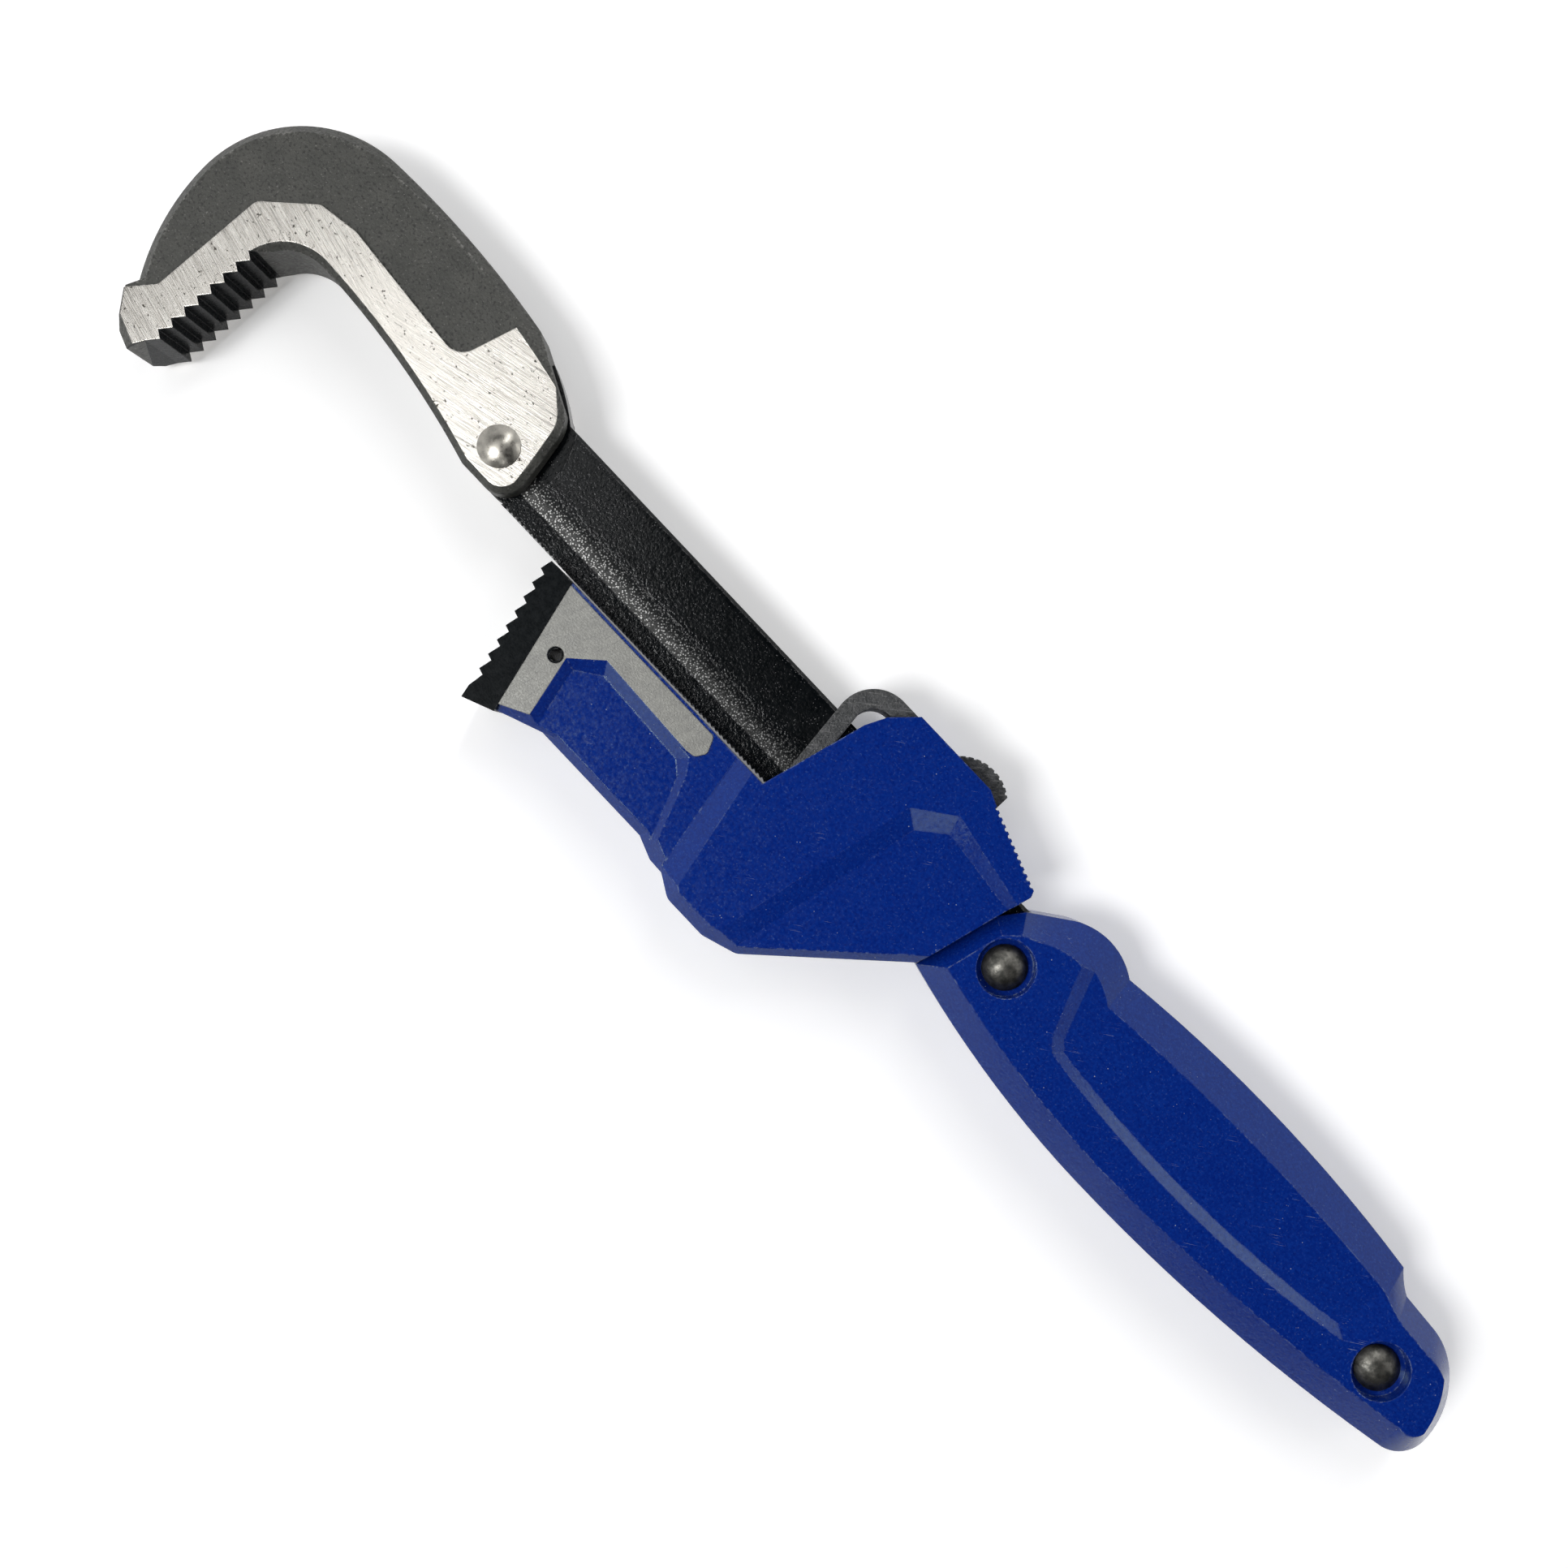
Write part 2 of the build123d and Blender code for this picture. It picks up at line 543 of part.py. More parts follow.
# Lever spring: one coil from its pocket to the back leg
spring_plane = Plane((spring_x, -passage - spring_wall, mid_z), x_dir=(1, 0, 0), z_dir=(0, -1, 0))
spring_length = -passage - spring_wall - leg_inner - pin_gap
with BuildPart() as lever_spring:
    with BuildLine() as centre:
        for start, end, tangent in coil(spring_turns, spring_radius, spring_wire, spring_length):
            TangentArc(
                spring_plane.from_local_coords(start),
                spring_plane.from_local_coords(end),
                tangent=spring_plane.from_local_coords(tangent) - spring_plane.origin,
            )
    path = centre.wire()
    with BuildSketch(Plane(path @ 0, z_dir=path % 0)):
        RegularPolygon(spring_wire / 2, 8)
    sweep(path=path)
lever_spring.part.label = "lever_spring"
export_step(lever_spring.part, "parts/lever_spring.step")
samples = [path @ (n / 400) for n in range(401)]
spacing = path.length / 400
near = math.ceil(math.pi * spring_radius / spacing)
self_gap = min((q - samples[i]).length for i in range(401) for q in samples[i + near:]) - spring_wire
print("lever spring's least gap to itself", round(self_gap, 2))

# Handle: two halves that meet on the middle plane and clamp the tang
handle_front_y = stop_front + 0.4
handle_back_y = -5.0
top_left = (stop_x - stop_gap + handle_front_y * stop_slope, handle_front_y)
top_right = (stop_x - stop_gap + handle_back_y * stop_slope, handle_back_y)
rim_points = [
    top_left, (-63.0, 18.4), (-92.0, 20.3), (-132.0, 18.4), (-172.8, 12.4), (-177.2, 9.8),
    (-178.7, 5.4), (-176.9, -2.0), (-173.2, -7.2), (-169.0, -10.4), (-164.0, -11.9), (-155.0, -12.5),
    (-152.6, -14.0), (-150.3, -16.1), (-110.0, -18.4), (-69.6, -15.8), (-60.6, -18.3), (-53.2, -15.9),
    (-45.3, -10.1), top_right,
]
face_points = [
    (-41.6, 9.5), (-64.0, 13.2), (-92.0, 14.9), (-132.0, 12.5), (-170.6, 7.0), (-173.7, 6.3),
    (-174.8, 4.2), (-173.2, -0.9), (-169.8, -6.1), (-167.4, -6.9), (-164.0, -7.1), (-155.0, -7.7),
    (-152.5, -8.0), (-150.3, -8.3), (-110.0, -9.2), (-69.6, -7.0), (-62.0, -10.2), (-54.4, -9.5),
    (-47.3, -5.9), (-44.4, -3.0),
]
step_rim = [
    (-52.0, -30.0), (-61.1, -7.1), (-65.8, 3.2), (-68.2, 5.9),
    (-98.0, 8.1), (-150.0, 3.2), (-156.5, -1.5), (-156.5, -30.0),
]
step_floor = [
    (-55.0, -30.0), (-64.4, -7.4), (-68.2, 2.2), (-70.2, 4.2),
    (-98.0, 5.6), (-147.4, 1.6), (-148.4, -1.5), (-148.4, -30.0),
]


def handle_outline(points):
    """The edges of the handle's closed outline: back, end, notch, belly and shoulder."""
    with BuildLine() as outline:
        ThreePointArc(*points[0:3])
        ThreePointArc(*points[2:5])
        ThreePointArc(*points[4:7])
        ThreePointArc(*points[6:9])
        ThreePointArc(*points[8:11])
        Line(*points[10:12])
        ThreePointArc(*points[11:14])
        ThreePointArc(*points[13:16])
        ThreePointArc(*points[15:18])
        Polyline(*points[17:20], points[0])
    return outline.edges()


def handle_panel(points):
    """The edges of the sunk panel's outline, open past the belly: top, curved side and far end."""
    with BuildLine() as outline:
        Polyline(*points[0:4])
        ThreePointArc(*points[3:6])
        Polyline(*points[5:8], points[0])
    return outline.edges()


with BuildPart() as handle_front:
    with BuildSketch(mid):
        make_face(handle_outline(rim_points))
    extrude(amount=handle_wall)
    with BuildSketch(mid.offset(handle_wall)):
        make_face(handle_outline(rim_points))
    with BuildSketch(mid.offset(mid_z)):
        make_face(handle_outline(face_points))
    loft(ruled=True)
    with BuildSketch(mid.offset(mid_z - handle_recess)):
        make_face(handle_panel(step_floor))
    with BuildSketch(mid.offset(mid_z)):
        make_face(handle_panel(step_rim))
    loft(ruled=True, mode=Mode.SUBTRACT)
    with BuildSketch(mid):
        with Locations((tang_start - seat_gap, 0)):
            Rectangle(past, 2 * (bar_half + seat_gap), align=(Align.MIN, Align.CENTER))
        with Locations((tang_end - seat_gap, tang_y)):
            Rectangle(tang_start - tang_end, tang_width + 2 * seat_gap, align=(Align.MIN, Align.CENTER))
    extrude(amount=bar_thick / 2 + seat_gap, mode=Mode.SUBTRACT)
    with Locations(*[(place[0], place[1], tool_thick) for place in (rivet_top, rivet_end)]):
        CounterBoreHole(handle_rivet_radius, handle_bore_radius, handle_bore_depth)
handle_front.part.label = "handle_front"
export_step(handle_front.part, "parts/handle_front.step")

with BuildPart() as handle_back:
    mirror(handle_front.part, about=mid)
handle_back.part.label = "handle_back"
export_step(handle_back.part, "parts/handle_back.step")

for name, place in (("handle_rivet_top", rivet_top), ("handle_rivet_end", rivet_end)):
    handle_rivet = domed_rivet(
        place, handle_rivet_radius, handle_head_radius, handle_head_height, mid_z - handle_bore_depth
    )
    handle_rivet.part.label = name
    export_step(handle_rivet.part, f"parts/{name}.step")
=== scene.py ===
# %% [markdown]
# A quick-adjusting pipe wrench, dressed for its portrait
#
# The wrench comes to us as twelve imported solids: a black rack bar, a forged hook, a blue slider with
# a toothed heel, a lock lever and a riveted handle. Shapes are settled before we start, so this
# lesson is about surfaces: how paint, forged skin and ground steel differ when the light moves over
# them, and how to say that in shader nodes.

# %% Load the solids
import math

import bpy
from mathutils import Matrix, Vector


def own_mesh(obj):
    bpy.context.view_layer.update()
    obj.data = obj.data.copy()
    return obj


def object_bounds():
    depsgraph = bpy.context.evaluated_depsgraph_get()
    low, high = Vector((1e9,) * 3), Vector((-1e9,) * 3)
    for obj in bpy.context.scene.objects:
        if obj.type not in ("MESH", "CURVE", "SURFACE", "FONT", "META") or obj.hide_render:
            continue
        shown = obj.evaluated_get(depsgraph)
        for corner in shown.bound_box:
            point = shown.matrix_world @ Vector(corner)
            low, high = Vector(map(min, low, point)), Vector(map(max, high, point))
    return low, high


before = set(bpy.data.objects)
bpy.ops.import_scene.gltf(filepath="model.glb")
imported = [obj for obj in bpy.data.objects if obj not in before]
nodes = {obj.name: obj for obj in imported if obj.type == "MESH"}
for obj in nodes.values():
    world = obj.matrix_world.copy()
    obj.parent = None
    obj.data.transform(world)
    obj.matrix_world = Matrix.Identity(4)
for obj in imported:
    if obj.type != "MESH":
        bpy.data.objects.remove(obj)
cad_low, cad_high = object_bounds()
print("solids:", ", ".join(sorted(nodes)))

# %% [markdown]
# The camera
#
# The photograph looks straight down on a tool that lies flat, from less than half a metre. A long
# lens would hide the side walls; here they show, most of all on the hook, so the camera has to be
# near. We place it over the slider, roll it so that the bar runs from the lower right to the upper
# left, and choose the angle of view that makes one photo pixel 0.168 mm on the tool's middle plane.

# %% Camera
MID_Z = (cad_low.z + cad_high.z) / 2  # middle plane of the wrench
EYE = Vector((0.0076, 0.0079, 0.366))  # over the slider
IMAGE_RIGHT = Vector((-0.6871, -0.7266, 0)).normalized()
IMAGE_UP = Vector((0, 0, 1)).cross(IMAGE_RIGHT)
PHOTO_PIXELS = 1932
PIXEL = 0.000168  # size of one on the middle plane

lens = bpy.data.cameras.new("overhead")
lens.sensor_fit = "HORIZONTAL"
lens.angle = 2 * math.atan(PHOTO_PIXELS * PIXEL / 2 / (EYE.z - MID_Z))
camera = bpy.data.objects.new("overhead", lens)
turn = Matrix((IMAGE_RIGHT, IMAGE_UP, (0, 0, 1))).transposed()
camera.matrix_world = Matrix.Translation(EYE) @ turn.to_4x4()
bpy.context.scene.collection.objects.link(camera)
bpy.context.scene.camera = camera
print("camera sees", round(math.degrees(lens.angle), 1), "degrees")

# %% [markdown]
# The light tent
#
# Small shiny tools are photographed in a white tent with a hole on top for the camera. We make the
# tent from the world: white all round, dark straight above. The hole matters. A face that looks
# straight up mirrors the hole and keeps its deep colour, while a bevel mirrors the white cloth and
# turns paler. An image of a real studio would do the same, but a ramp is smaller and easy to move.

# %% Tent cloth
HOLE_EDGE = 0.81  # height on the unit sphere where the dark hole begins
CLOTH_EDGE = 0.63  # height below which the cloth is fully white
CLOTH_WHITE = (0.85, 0.85, 0.86, 1)
HOLE_DARK = (0.012, 0.012, 0.014, 1)

scene = bpy.context.scene
scene.view_settings.view_transform = "Standard"
world = bpy.data.worlds.new("light tent")
scene.world = world
world.use_nodes = True
tent = world.node_tree
tent.nodes.clear()
tent_out = tent.nodes.new("ShaderNodeOutputWorld")
tent_light = tent.nodes.new("ShaderNodeBackground")
tent_ramp = tent.nodes.new("ShaderNodeValToRGB")
tent_height = tent.nodes.new("ShaderNodeSeparateXYZ")
tent_way = tent.nodes.new("ShaderNodeTexCoord").outputs["Generated"]
tent.links.new(tent_way, tent_height.inputs[0])
tent.links.new(tent_height.outputs["Z"], tent_ramp.inputs["Fac"])
tent.links.new(tent_ramp.outputs["Color"], tent_light.inputs["Color"])
tent.links.new(tent_light.outputs[0], tent_out.inputs["Surface"])
cloth, hole = tent_ramp.color_ramp.elements
cloth.position = CLOTH_EDGE
cloth.color = CLOTH_WHITE
hole.position = HOLE_EDGE
hole.color = HOLE_DARK
print("tent is dark above", round(math.degrees(math.asin(HOLE_EDGE))), "degrees")

# %% [markdown]
# The open side of the tent
#
# One side of the tent, beside the handle, is open to the dark room, and slopes that face that way
# stay deep. A black board in the scene would do it too, but it would throw a shadow on the floor. So
# we dim the world there, by the angle from the way of the opening.

# %% Open side
OPEN_WAY = (-0.80, 0.60, 0)  # towards the opening
OPEN_EDGE = (0.44, 0.54)  # cosine from that way, where the opening begins and is full
OPEN_DIM = 0.1

tent_side = tent.nodes.new("ShaderNodeVectorMath")
tent_side.operation = "DOT_PRODUCT"
tent_side.inputs[1].default_value = OPEN_WAY
tent_dim = tent.nodes.new("ShaderNodeMapRange")
tent_dim.inputs["From Min"].default_value, tent_dim.inputs["From Max"].default_value = OPEN_EDGE
tent_dim.inputs["To Min"].default_value = 1
tent_dim.inputs["To Max"].default_value = OPEN_DIM
tent.links.new(tent_way, tent_side.inputs[0])
tent.links.new(tent_side.outputs["Value"], tent_dim.inputs["Value"])
tent.links.new(tent_dim.outputs["Result"], tent_light.inputs["Strength"])
print("open side is dimmed to", OPEN_DIM)

# %% [markdown]
# Lamps
#
# The tent alone would light every side alike. A key lamp hangs high on the left of the picture, so
# the shadows are short and fall to the right. A weaker lamp hangs at the upper left: the flat ground
# strip of the hook mirrors it and flashes almost white. A tall narrow one beyond the bar's back
# draws the bright line along the hollow of the black bar, helped by a highlight painted into the
# bar's colour. Area lamps are chosen over points, because polished steel shows the shape of a lamp.

# %% Lamps
def lamp(name, place, target, width, height, watts):
    """A soft flat lamp that looks at a target."""
    light = bpy.data.lights.new(name, "AREA")
    light.shape = "RECTANGLE"
    light.size = width
    light.size_y = height
    light.energy = watts
    holder = bpy.data.objects.new(name, light)
    aim = (Vector(target) - Vector(place)).to_track_quat("-Z", "Y")
    holder.matrix_world = Matrix.Translation(place) @ aim.to_matrix().to_4x4()
    scene.collection.objects.link(holder)
    print("lamp:", name, watts, "W")


def in_photo(right, up, height):
    """A place in metres from the middle of the picture, along its right and its up."""
    return Vector((EYE.x, EYE.y, 0)) + IMAGE_RIGHT * right + IMAGE_UP * up + Vector((0, 0, height))


LEFT = in_photo(right=-0.55, up=-0.16, height=1.2)
UPPER_LEFT = in_photo(right=-0.33, up=0.35, height=1.2)
BEYOND_BAR = in_photo(right=0.30, up=0.71, height=1.08)
WRENCH_MIDDLE = (0, 0, 0)
HOOK_STRIP = (0.1, 0, 0)
BAR_HOLLOW = (0.07, 0, 0)

lamp("key", LEFT, WRENCH_MIDDLE, width=0.40, height=0.40, watts=9.2)
lamp("hook flash", UPPER_LEFT, HOOK_STRIP, width=0.40, height=0.40, watts=0.86)
lamp("bar glint", BEYOND_BAR, BAR_HOLLOW, width=0.16, height=0.6, watts=2.8)

# %% [markdown]
# Reflector cards
#
# In a studio, small white cards are propped up where a slope would otherwise mirror nothing. Three
# of them stand here, each in the direction that one slope of the paint mirrors: the handle's step,
# the slider's bent recess and the pocket of the heel arm. We make them as weak lamps. They hardly
# add light, but each draws one pale band; a brighter tent would have paled every slope at once.

# %% Cards
HANDLE_STEP = (-0.115, 0.005, 0.023)
BENT_RECESS = (-0.017, -0.010, 0.024)
ARM_POCKET = (0.043, 0.018, 0.021)

lamp("step card", (-0.50, -0.83, 0.93), HANDLE_STEP, width=0.55, height=0.25, watts=0.9)
lamp("recess card", (-0.54, 0.50, 1.10), BENT_RECESS, width=0.28, height=0.28, watts=0.55)
lamp("pocket card", (0.22, 1.17, 0.59), ARM_POCKET, width=0.40, height=0.30, watts=0.45)

# %% [markdown]
# A blank finish
#
# Every surface of the wrench starts as the same blank: a material with one Principled shader, which
# can be paint or metal. We could click the nodes together by hand for each, but nine finishes share
# most of their wiring, so a small class holds what they share. Each object's own coordinates are the
# wrench's frame, in metres, so a noise keeps its real size from piece to piece.

# %% Blank finish
class Finish:
    """A new material, its shader and the place on the wrench that feeds its noises."""

    def __init__(self, name, metallic=0.0, specular=0.5):
        self.material = bpy.data.materials.new(name)
        self.material.use_nodes = True
        self.tree = self.material.node_tree
        self.shader = self.tree.nodes["Principled BSDF"]
        self.shader.inputs["Metallic"].default_value = metallic
        self.shader.inputs["Specular IOR Level"].default_value = specular
        self.place = self.add("ShaderNodeTexCoord").outputs["Object"]

    def add(self, kind):
        return self.tree.nodes.new(kind)

    def join(self, source, target):
        self.tree.links.new(source, target)

    def colour(self, value):
        self.join(value, self.shader.inputs["Base Color"])


print("blank finish is ready")

# %% [markdown]
# Grain
#
# Sand, scale, brush and wheel all leave grain of a certain size, and sometimes of a certain
# direction. A noise texture gives it, with its scale worked out from the size of one grain. For
# scratches we stretch the space that the noise sits in. A threshold then turns soft noise into
# spots, pits or lines. An image would have a fixed number of pixels; noise stays sharp close up.

# %% Grain
MM = 0.001
NOISE_LOW = 0.3  # nearly all of a noise lies
NOISE_HIGH = 0.7  # between these two


def grain(finish, size, detail=2, turn=0, stretch=1):
    """Noise with grains about `size` across, or drawn out along a direction in the plan."""
    place = finish.place
    if stretch != 1:
        mapping = finish.add("ShaderNodeMapping")
        mapping.vector_type = "TEXTURE"
        mapping.inputs["Rotation"].default_value = (0, 0, math.radians(turn))
        mapping.inputs["Scale"].default_value = (stretch, 1, 1)
        finish.join(place, mapping.inputs["Vector"])
        place = mapping.outputs["Vector"]
    noise = finish.add("ShaderNodeTexNoise")
    noise.inputs["Scale"].default_value = 1 / size
    noise.inputs["Detail"].default_value = detail
    finish.join(place, noise.inputs["Vector"])
    return noise.outputs["Fac"]


def between(finish, value, low, high, to_low=0.0, to_high=1.0):
    """A value taken from one range to another and held inside it; low may be the larger one."""
    remap = finish.add("ShaderNodeMapRange")
    remap.inputs["From Min"].default_value = low
    remap.inputs["From Max"].default_value = high
    remap.inputs["To Min"].default_value = to_low
    remap.inputs["To Max"].default_value = to_high
    finish.join(value, remap.inputs["Value"])
    return remap.outputs["Result"]


print("noise is used from", NOISE_LOW, "to", NOISE_HIGH)

# %% [markdown]
# Mixing
#
# A worn coat is layers: what lies below shows through where the upper layer is gone. In nodes that
# is a mix of two colours by a mask, one layer after another. Masks are plain numbers, so they can be
# added, multiplied and compared. Stacked shaders would also do, but they cost more to render.

# %% Mixing
def mix(finish, factor, first, second):
    """Two colours mixed by a mask."""
    mixer = finish.add("ShaderNodeMix")
    mixer.data_type = "RGBA"
    finish.join(factor, mixer.inputs["Factor"])
    for socket, colour in ((mixer.inputs["A"], first), (mixer.inputs["B"], second)):
        if isinstance(colour, tuple):
            socket.default_value = (*colour, 1)
        else:
            finish.join(colour, socket)
    return mixer.outputs["Result"]


def sums(finish, kind, first, second):
    """Two values added, multiplied or compared."""
    math_node = finish.add("ShaderNodeMath")
    math_node.operation = kind
    for socket, value in zip(math_node.inputs, (first, second)):
        if isinstance(value, (int, float)):
            socket.default_value = value
        else:
            finish.join(value, socket)
    return math_node.outputs[0]


def both(finish, *masks):
    """A mask that holds only where all of them hold."""
    product = masks[0]
    for mask in masks[1:]:
        product = sums(finish, "MULTIPLY", product, mask)
    return product


print("colours and masks can be mixed")

# %% [markdown]
# Floor
#
# The background of a catalogue picture is cut to pure white, with a trace of shadow left beside the
# tool. A pale floor under a plain light comes out a little grey, and more light would bleach the
# tool as well. So the floor adds a small glow of its own, but only for rays that a viewer can see:
# straight from the camera, off metal or through glass. The shadow stays, and the tool gets no more
# light.

# %% Floor
FLOOR_HALF = 2.5
FLOOR_DROP = 0.2 * MM  # just under the lowest face
FLOOR_GLOW = 0.20
FLOOR_PAPERS = (0.92, 0.92, 0.92), (0.94, 0.94, 0.94)

corners = ((-1, -1), (1, -1), (1, 1), (-1, 1))
floor_mesh = bpy.data.meshes.new("floor")
floor_mesh.from_pydata(
    [(x * FLOOR_HALF, y * FLOOR_HALF, -FLOOR_DROP) for x, y in corners], [], [(0, 1, 2, 3)]
)
floor = bpy.data.objects.new("floor", floor_mesh)
scene.collection.objects.link(floor)

pale = Finish("pale floor", specular=0.0)
paper = between(pale, grain(pale, 20 * MM, detail=4), NOISE_LOW, NOISE_HIGH)
pale.colour(mix(pale, paper, *FLOOR_PAPERS))
pale.shader.inputs["Roughness"].default_value = 1.0
pale.shader.inputs["Emission Color"].default_value = (1, 1, 1, 1)
ray = pale.add("ShaderNodeLightPath")
seen = sums(pale, "ADD", ray.outputs["Is Camera Ray"], ray.outputs["Is Glossy Ray"])
seen = sums(pale, "ADD", seen, ray.outputs["Is Transmission Ray"])
pale.join(both(pale, seen, FLOOR_GLOW), pale.shader.inputs["Emission Strength"])
floor_mesh.materials.append(pale.material)
print("floor is in place")

# %% [markdown]
# Edges, bumps and gloss
#
# On a used tool the edges tell most: they are never quite sharp, and they wear first. Real fillets
# on every edge would change the solids, so we ask the Bevel node for the normal that a rounded edge
# would have. Where it differs from the flat normal there is an edge, and that is our mask for wear.
# The same normal goes under the bumps, so that edges catch the light.

# %% Edges, bumps and gloss
EDGE_RAYS = 4  # few, since each costs time
EDGE_FROM = 0.995  # cosine between the two normals where an edge begins
EDGE_FULL = 0.9  # and where it counts in full


def rounded(finish, radius):
    """The normal as it would be with the edges rounded."""
    bevel = finish.add("ShaderNodeBevel")
    bevel.samples = EDGE_RAYS
    bevel.inputs["Radius"].default_value = radius
    return bevel.outputs[0]


def edges(finish, radius):
    """1 on the edges of the solid and 0 on its faces, from a rounded normal against the flat one."""
    flat = finish.add("ShaderNodeNewGeometry")
    dot = finish.add("ShaderNodeVectorMath")
    dot.operation = "DOT_PRODUCT"
    finish.join(rounded(finish, radius), dot.inputs[0])
    finish.join(flat.outputs["True Normal"], dot.inputs[1])
    return between(finish, dot.outputs["Value"], EDGE_FROM, EDGE_FULL)


def relief(finish, height, depth, rounding=0.0):
    """Bumps `depth` metres high, over edges that are rounded a little."""
    bump = finish.add("ShaderNodeBump")
    bump.inputs["Distance"].default_value = depth
    finish.join(height, bump.inputs["Height"])
    if rounding:
        finish.join(rounded(finish, rounding), bump.inputs["Normal"])
    finish.join(bump.outputs[0], finish.shader.inputs["Normal"])


def uneven_gloss(finish, noise, smooth, rough):
    """Roughness that wanders with a noise between two values."""
    wander = between(finish, noise, NOISE_LOW, NOISE_HIGH, to_low=smooth, to_high=rough)
    finish.join(wander, finish.shader.inputs["Roughness"])


print("edges begin at", round(math.degrees(math.acos(EDGE_FROM)), 1), "degrees")

# %% [markdown]
# Royal blue paint
#
# The slider and the handle are castings with a baked coat of blue. The coat follows the sandy skin
# of the casting, so it has a fine orange peel, darker in the pores and paler on the grains. The
# pigment floats up to the top of the coat and greens what it mirrors a little. Painting an image
# would be quicker for one view, but noise in the wrench's own coordinates holds from every side.

# %% Blue coat
PAINT_SHEEN = (0.78, 1.0, 0.74, 1)  # colour of what the coat mirrors
PAINT_BLUES = (0.0010, 0.0145, 0.166), (0.0013, 0.0165, 0.174)
PAINT_GRAIN = (0.0030, 0.0275, 0.226)
PAINT_GRAIN_SHARE = 0.7
PAINT_PORE = (0.0008, 0.0125, 0.150)
PAINT_FLECK = (0.035, 0.072, 0.25)

paint = Finish("royal blue paint", specular=0.385)
paint.shader.inputs["Specular Tint"].default_value = PAINT_SHEEN
paint_cloud = between(paint, grain(paint, 7 * MM, detail=3), 0.35, 0.65)
paint_grains = between(paint, grain(paint, 0.6 * MM, detail=3), 0.42, 0.68)
paint_pores = between(paint, grain(paint, 0.7 * MM), 0.42, 0.32)
paint_flecks = between(paint, grain(paint, 0.45 * MM, detail=1), 0.62, 0.80)
paint_tone = mix(paint, paint_cloud, *PAINT_BLUES)
paint_tone = mix(paint, both(paint, paint_grains, PAINT_GRAIN_SHARE), paint_tone, PAINT_GRAIN)
paint_tone = mix(paint, paint_pores, paint_tone, PAINT_PORE)
paint_tone = mix(paint, both(paint, paint_flecks, grain(paint, 5 * MM)), paint_tone, PAINT_FLECK)
uneven_gloss(paint, grain(paint, 0.9 * MM), smooth=0.12, rough=0.24)
relief(paint, grain(paint, 0.7 * MM, detail=3), depth=0.025 * MM, rounding=0.4 * MM)
print("blue coat is mixed")

# %% [markdown]
# Wear on the paint
#
# Paint chips first where edges knock against other tools, and the faces collect specks of grit and
# hair scratches. Chips that follow every edge evenly look like an outline drawn with a pen, so a
# chip needs three things here: an edge, a coarse noise and a patch of bad luck. Specks come from
# cells with one dot each, because plain noise seldom gives spots that stand alone.

# %% Chips and scratches
CHIP_BLUE = (0.13, 0.17, 0.29)
SCRATCH_BLUE = (0.22, 0.26, 0.36)


def dots(finish, spacing, core, rim):
    """Round spots, one in each cell `spacing` wide, full at the core and gone at the rim."""
    cells = finish.add("ShaderNodeTexVoronoi")
    cells.inputs["Scale"].default_value = 1 / spacing
    finish.join(finish.place, cells.inputs["Vector"])
    return between(finish, cells.outputs["Distance"], rim, core)


chip_noise = between(paint, grain(paint, 0.9 * MM, detail=4), 0.47, 0.57)
chip_patch = between(paint, grain(paint, 10 * MM), 0.38, 0.52)
chips = both(paint, edges(paint, 0.45 * MM), chip_noise, chip_patch)
hair_lines = between(paint, grain(paint, 0.1 * MM, detail=1, turn=35, stretch=60), 0.70, 0.74)
hair_breaks = between(paint, grain(paint, 4 * MM), 0.5, 0.6)
hair_patch = between(paint, grain(paint, 12 * MM, detail=3), 0.50, 0.62)
hairs = both(paint, hair_lines, hair_breaks, hair_patch, hair_patch)  # twice, so that they fade out
speck_patch = between(paint, grain(paint, 9 * MM, detail=3), 0.54, 0.62)
specks = both(paint, dots(paint, 1.6 * MM, core=0.05, rim=0.09), speck_patch)
paint_tone = mix(paint, chips, paint_tone, CHIP_BLUE)
paint.colour(mix(paint, sums(paint, "MAXIMUM", specks, hairs), paint_tone, SCRATCH_BLUE))
print("blue paint is chipped and scratched")

# %% [markdown]
# Black wrinkle paint
#
# The bar wears a thick black coat that shrinks into wrinkles as it dries. On flat faces it looks
# like soot, but each wrinkle in the long hollow gives a spark. Wet paint runs into the hollow before
# it dries, so the wrinkles are deepest there. Modelled wrinkles would need millions of faces, and
# bumps alone are smoothed away when the picture is cleaned of noise. So the sparks are a painted
# highlight: the tops carry pale painted dots and the hollow a grey painted sheen, strongest towards
# the hook, and the place across and along the bar says where.

# %% Wrinkles and painted highlight in the hollow
# Where the painted highlight of the hollow lies: across the bar, and along it from the sleeve.
HOLLOW_FOOT = 0.8 * MM  # the shine begins here across the bar
HOLLOW_CREST = 5.4 * MM  # and is full here
HOLLOW_EDGE = (6.4 * MM, 6.1 * MM)  # where it stops
HOLLOW_FADE = (20 * MM, 70 * MM)  # along the bar, from the sleeve outwards
WRINKLE_BLACKS = (0.0018, 0.0026, 0.0032), (0.0042, 0.0052, 0.006)
# Grey painted sheen and pale painted sparks: a painted highlight of the hollow.
WRINKLE_PAINTED_SHEEN = (0.058, 0.059, 0.057)
WRINKLE_PAINTED_SPARK = (0.88, 0.88, 0.86)


def along(finish, axis):
    """The place along one axis of the wrench's frame."""
    split = finish.add("ShaderNodeSeparateXYZ")
    finish.join(finish.place, split.inputs[0])
    return split.outputs[axis]


